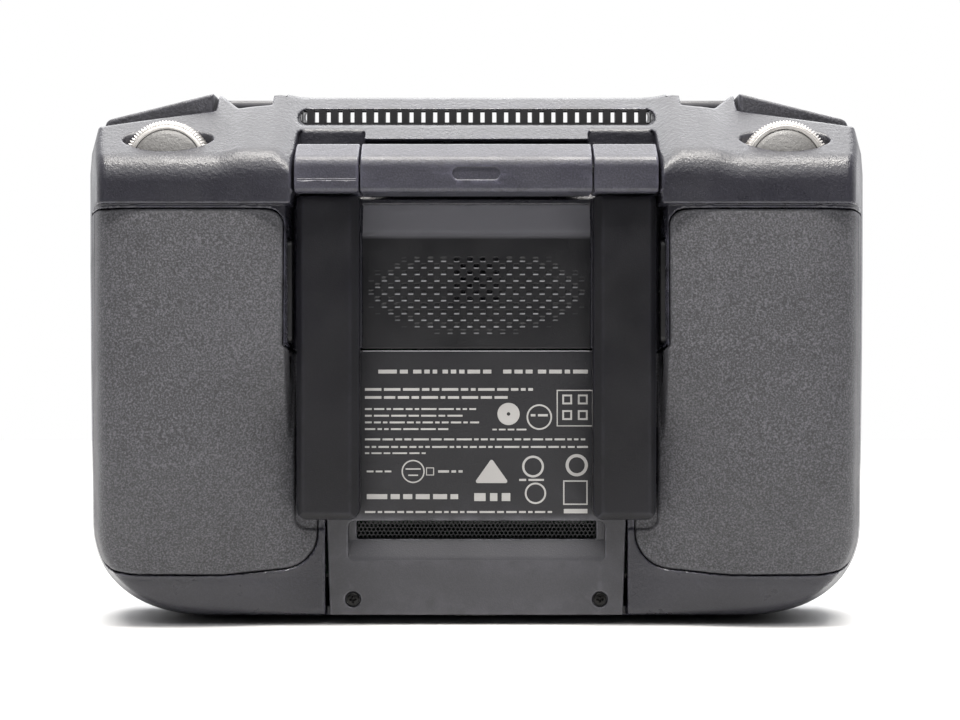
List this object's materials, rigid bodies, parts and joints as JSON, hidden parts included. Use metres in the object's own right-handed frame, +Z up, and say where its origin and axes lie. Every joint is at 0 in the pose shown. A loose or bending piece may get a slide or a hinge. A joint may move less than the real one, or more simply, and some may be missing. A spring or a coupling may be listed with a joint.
{
  "type": "radio transmitter controller",
  "caption": "Hand-held transmitter with a built-in screen, folding aerials, sprung control sticks, shoulder dials and triggers, and moulded grips.",
  "frame": {"origin": "centre of the bounding box at the foot, on the surface it stands on", "axes": "+X across the set towards the user's left hand, +Y out of the screen, +Z up from the foot"},
  "size_m": [0.1774, 0.06, 0.1213],
  "materials": {
    "casing": "fine spark-eroded graphite grey plastic",
    "grip": "soft fine-grained grip covering",
    "aerial": "smooth matte dark plastic",
    "panel": "smooth matte graphite plastic with a printed label area",
    "dial": "knurled, satin plated rim",
    "glass": "black backed cover glass",
    "black": "black moulded plastic",
    "screw": "black oxidised steel",
    "steel": "bright plated steel",
    "alloy": "satin alloy",
    "circuit": "green circuit board",
    "cell": "shrink-wrapped lithium cell",
    "light": "clear light pipe"
  },
  "bodies": {
    "controller": {"rear_shell": "casing", "front_shell": "casing", "hinge_bar": "casing", "grip_cover_left": "grip", "grip_cover_right": "grip", "centre_panel": "panel", "air_intake_mesh": "black", "air_outlet_grille": "black", "fan_housing": "black", "speaker": "black", "display_panel": "black", "gimbal_base_left": "black", "gimbal_base_right": "black", "hinge_pin_left": "steel", "hinge_pin_right": "steel", "media_port": "steel", "usb_port": "steel", "charging_port": "steel", "main_board": "circuit", "key_board": "circuit", "heat_spreader": "alloy", "heat_sink": "alloy", "status_light": "light", "cover_glass": "glass", "battery_cell_inner_left": "cell", "battery_cell_inner_right": "cell", "battery_cell_outer_left": "cell", "battery_cell_outer_right": "cell", "panel_screw_left": "screw", "panel_screw_right": "screw"},
    "aerial_left": {"aerial_knuckle_left": "casing", "aerial_cover_left": "aerial", "aerial_back_left": "aerial", "aerial_board_left": "circuit"},
    "aerial_right": {"aerial_knuckle_right": "casing", "aerial_cover_right": "aerial", "aerial_back_right": "aerial", "aerial_board_right": "circuit"},
    "ring_left": {"gimbal_ring_left": "alloy"},
    "ring_right": {"gimbal_ring_right": "alloy"},
    "stick_left": {"stick_dome_left": "black", "control_stick_left": "alloy"},
    "stick_right": {"stick_dome_right": "black", "control_stick_right": "alloy"},
    "gimbal_wheel": {"gimbal_dial": "dial"},
    "camera_wheel": {"camera_dial": "dial"},
    "record": {"record_trigger": "aerial"},
    "shutter": {"shutter_trigger": "aerial"},
    "c1": {"c1_button": "aerial"},
    "c2": {"c2_button": "aerial"},
    "home": {"home_button": "aerial"},
    "pause": {"pause_button": "aerial"},
    "power": {"power_button": "aerial"},
    "back": {"back_button": "aerial"},
    "confirm": {"confirm_button": "aerial"},
    "five_way_press": {"five_way_plunger": "black"},
    "five_way_tilt": {"five_way_rocker": "alloy"},
    "five_way_top": {"five_way_cap": "aerial"},
    "mode_slider": {"mode_switch": "aerial"},
    "fan": {"fan_impeller": "black"}
  },
  "joints": [
    {"name": "aerial_left_fold", "type": "hinge", "parent": "controller", "child": "aerial_left", "pos_m": [0.0326, -0.022, 0.1016], "axis": [-1, 0, 0], "range_deg": [0, 180]},
    {"name": "aerial_right_fold", "type": "hinge", "parent": "controller", "child": "aerial_right", "pos_m": [-0.0326, -0.022, 0.1016], "axis": [-1, 0, 0], "range_deg": [0, 180]},
    {"name": "stick_left_up_down", "type": "hinge", "parent": "controller", "child": "ring_left", "pos_m": [0.066, -0.002, 0.0923], "axis": [1, 0, 0], "range_deg": [-22, 22], "stiffness_Nm_per_rad": 0.06},
    {"name": "stick_left_side", "type": "hinge", "parent": "ring_left", "child": "stick_left", "pos_m": [0.066, -0.002, 0.0923], "axis": [0, 0, 1], "range_deg": [-22, 22], "stiffness_Nm_per_rad": 0.06},
    {"name": "stick_right_up_down", "type": "hinge", "parent": "controller", "child": "ring_right", "pos_m": [-0.066, -0.002, 0.0923], "axis": [1, 0, 0], "range_deg": [-22, 22], "stiffness_Nm_per_rad": 0.06},
    {"name": "stick_right_side", "type": "hinge", "parent": "ring_right", "child": "stick_right", "pos_m": [-0.066, -0.002, 0.0923], "axis": [0, 0, 1], "range_deg": [-22, 22], "stiffness_Nm_per_rad": 0.06},
    {"name": "gimbal_dial_turn", "type": "hinge", "parent": "controller", "child": "gimbal_wheel", "pos_m": [0.0685, -0.0196, 0.1028], "axis": [0, 1, 0], "range_deg": [-35, 35], "stiffness_Nm_per_rad": 0.02},
    {"name": "camera_dial_turn", "type": "hinge", "parent": "controller", "child": "camera_wheel", "pos_m": [-0.0685, -0.0196, 0.1028], "axis": [0, 1, 0], "continuous": true},
    {"name": "record_press", "type": "hinge", "parent": "controller", "child": "record", "pos_m": [0.0604, -0.002, 0.118], "axis": [0, 1, 0], "range_deg": [0, 4], "stiffness_Nm_per_rad": 0.5, "springref_deg": -1.72},
    {"name": "shutter_press", "type": "hinge", "parent": "controller", "child": "shutter", "pos_m": [-0.0604, -0.002, 0.118], "axis": [0, -1, 0], "range_deg": [0, 4], "stiffness_Nm_per_rad": 0.5, "springref_deg": -1.72},
    {"name": "c1_press", "type": "slide", "parent": "controller", "child": "c1", "axis": [1, 0, 0], "range_m": [0, 0.0008], "stiffness_N_per_m": 400, "springref_m": -0.001},
    {"name": "c2_press", "type": "slide", "parent": "controller", "child": "c2", "axis": [-1, 0, 0], "range_m": [0, 0.0008], "stiffness_N_per_m": 400, "springref_m": -0.001},
    {"name": "home_press", "type": "slide", "parent": "controller", "child": "home", "axis": [0, -1, 0], "range_m": [0, 0.0008], "stiffness_N_per_m": 400, "springref_m": -0.001},
    {"name": "pause_press", "type": "slide", "parent": "controller", "child": "pause", "axis": [0, -1, 0], "range_m": [0, 0.0008], "stiffness_N_per_m": 400, "springref_m": -0.001},
    {"name": "power_press", "type": "slide", "parent": "controller", "child": "power", "axis": [0, -1, 0], "range_m": [0, 0.0008], "stiffness_N_per_m": 400, "springref_m": -0.001},
    {"name": "back_press", "type": "slide", "parent": "controller", "child": "back", "axis": [0, -1, 0], "range_m": [0, 0.0008], "stiffness_N_per_m": 400, "springref_m": -0.001},
    {"name": "confirm_press", "type": "slide", "parent": "controller", "child": "confirm", "axis": [0, -1, 0], "range_m": [0, 0.0008], "stiffness_N_per_m": 400, "springref_m": -0.001},
    {"name": "five_way_centre_press", "type": "slide", "parent": "controller", "child": "five_way_press", "axis": [0, -1, 0], "range_m": [0, 0.0006], "stiffness_N_per_m": 400, "springref_m": -0.001},
    {"name": "five_way_up_down", "type": "hinge", "parent": "five_way_press", "child": "five_way_tilt", "pos_m": [-0.036, 0.0055, 0.089], "axis": [1, 0, 0], "range_deg": [-6, 6], "stiffness_Nm_per_rad": 0.05},
    {"name": "five_way_side", "type": "hinge", "parent": "five_way_tilt", "child": "five_way_top", "pos_m": [-0.036, 0.0055, 0.089], "axis": [0, 0, 1], "range_deg": [-6, 6], "stiffness_Nm_per_rad": 0.05},
    {"name": "mode_slide", "type": "slide", "parent": "controller", "child": "mode_slider", "axis": [1, 0, 0], "range_m": [-0.004, 0.004]},
    {"name": "fan_spin", "type": "hinge", "parent": "controller", "child": "fan", "pos_m": [0, -0.0094, 0.042], "axis": [0, 1, 0], "continuous": true}
  ]
}
